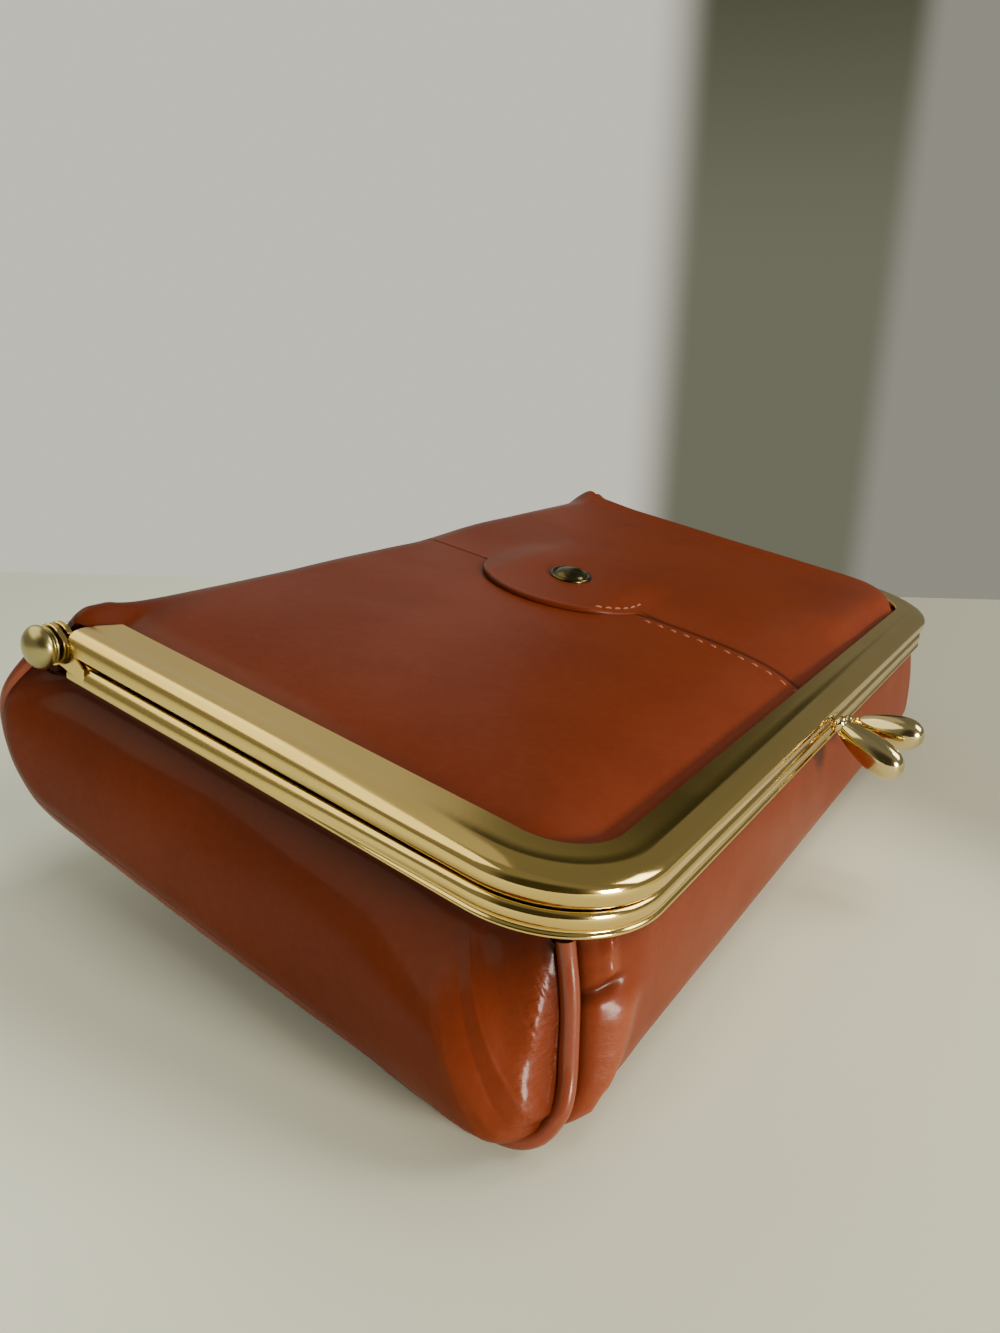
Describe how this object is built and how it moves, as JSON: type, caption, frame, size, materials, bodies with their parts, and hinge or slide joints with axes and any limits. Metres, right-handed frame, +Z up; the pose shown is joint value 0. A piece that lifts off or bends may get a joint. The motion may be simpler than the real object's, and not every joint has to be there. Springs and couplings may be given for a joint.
{
  "type": "leather clutch",
  "caption": "Small leather clutch with a hinged brass kiss-lock frame, piped side gussets and a snap-tab front flap, closed and lying on its back.",
  "frame": {"origin": "middle of the bounding box, on the surface that the clutch lies on", "axes": "+X along the frame's bar, +Y from the bar to the fold, +Z up from the back to the front face"},
  "size_m": [0.1964, 0.1208, 0.0501],
  "materials": {
    "frame_brass": "satin polished, pale gold",
    "snap_brass": "antique, dark",
    "body_leather": "smooth, waxed, lightly creased",
    "piping_leather": "smooth, waxed"
  },
  "bodies": {
    "root": {"frame_front": "frame_brass", "frame_back": "frame_brass", "clasp_drop_front": "frame_brass", "clasp_drop_back": "frame_brass", "hinge_rivet_left": "frame_brass", "hinge_rivet_right": "frame_brass", "snap_cap": "snap_brass", "body_wrap": "body_leather", "front_flap": "body_leather", "gusset_left": "body_leather", "gusset_right": "body_leather", "piping_left": "piping_leather", "piping_right": "piping_leather"}
  },
  "joints": []
}
